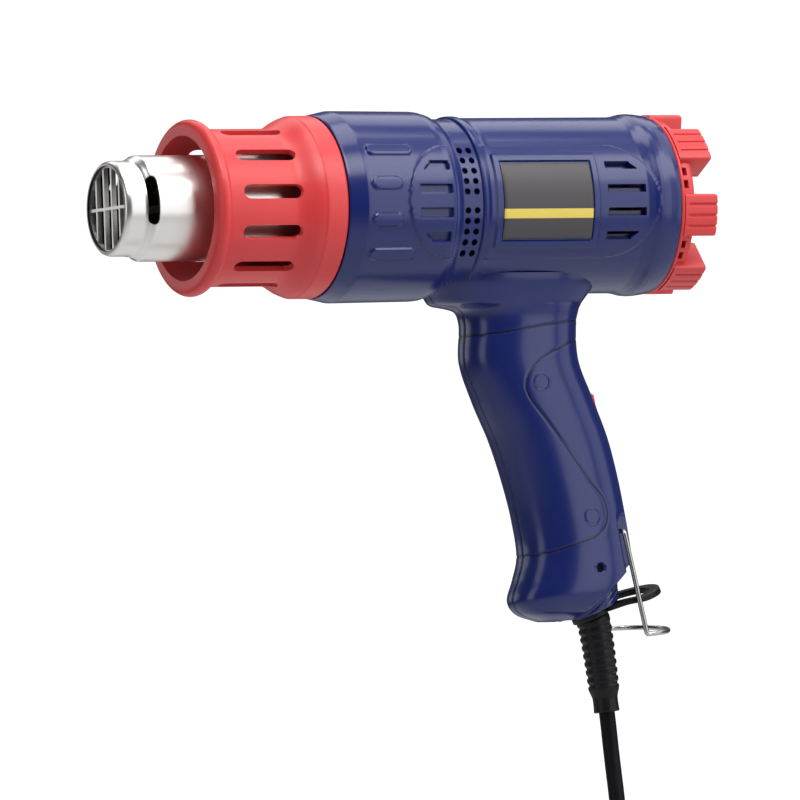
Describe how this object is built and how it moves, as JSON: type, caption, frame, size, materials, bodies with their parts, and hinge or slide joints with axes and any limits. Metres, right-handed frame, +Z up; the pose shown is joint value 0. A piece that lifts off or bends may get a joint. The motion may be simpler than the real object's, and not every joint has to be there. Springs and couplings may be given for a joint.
{
  "type": "hot air tool",
  "caption": "Pistol-grip hot air tool: blue two-part housing, slotted red heat guard, steel nozzle with a grille, red crown rear cap, rocker switch, wire bail and mains cord in a hank.",
  "frame": {"origin": "middle of the pistol grip, where the palm holds it", "axes": "+X back along the barrel, away from the nozzle; +Y to the tool's right side; +Z up"},
  "size_m": [0.2674, 0.078, 0.4925],
  "materials": {
    "blue_plastic": "glossy moulded plastic",
    "red_plastic": "satin moulded plastic",
    "nozzle_steel": "polished stainless steel",
    "dull_steel": "dull steel",
    "wire_steel": "bright plated wire",
    "black_rubber": "soft matt rubber",
    "black_plastic": "satin plastic",
    "mica": "pressed mica sheet",
    "resistance_wire": "oxidised resistance wire",
    "label_grey": "printed satin plate, dark grey with a plain yellow stripe",
    "bronze": "sintered bronze",
    "brass": "bright brass",
    "board_green": "lacquered circuit board"
  },
  "bodies": {
    "tool": {"housing_left": "blue_plastic", "housing_right": "blue_plastic", "heat_guard": "red_plastic", "rear_cap": "red_plastic", "nozzle_tube": "nozzle_steel", "nozzle_grille": "dull_steel", "mica_sleeve": "mica", "heater_core": "mica", "heater_coil": "resistance_wire", "thermal_fuse": "dull_steel", "air_funnel": "black_plastic", "motor_holder": "black_plastic", "motor_can": "dull_steel", "motor_end_bell": "black_plastic", "front_bush": "bronze", "rear_bush": "bronze", "label_plate": "label_grey", "switch_body": "black_plastic", "hanging_loop": "black_rubber", "strain_relief": "black_rubber", "cord_tail": "black_rubber", "cord_clamp": "black_plastic", "clamp_screw_1": "dull_steel", "clamp_screw_2": "dull_steel", "housing_screw_1": "dull_steel", "housing_screw_2": "dull_steel", "housing_screw_3": "dull_steel", "grip_plug_1": "blue_plastic", "grip_plug_2": "blue_plastic", "control_board": "board_green", "inner_lead_1": "brass", "inner_lead_2": "brass", "power_cord": "black_rubber", "power_cord_hank": "black_rubber", "hank_tie": "black_plastic", "plug_body": "black_rubber", "plug_pin_1": "brass", "plug_pin_2": "brass"},
    "rotor": {"motor_armature": "dull_steel", "fan_impeller": "black_plastic"},
    "rocker": {"switch_rocker": "red_plastic"},
    "bail": {"stand_bail": "wire_steel"}
  },
  "joints": [
    {"name": "fan_spin", "type": "hinge", "parent": "tool", "child": "rotor", "pos_m": [0, 0, 0.094], "axis": [1, 0, 0], "continuous": true},
    {"name": "switch_rock", "type": "hinge", "parent": "tool", "child": "rocker", "pos_m": [0.01638, 0, 0.01234], "axis": [0, -1, 0], "range_deg": [0, 16]},
    {"name": "bail_swing", "type": "hinge", "parent": "tool", "child": "bail", "pos_m": [0.0249, 0, -0.0377], "axis": [0, -1, 0], "range_deg": [0, 100]}
  ]
}
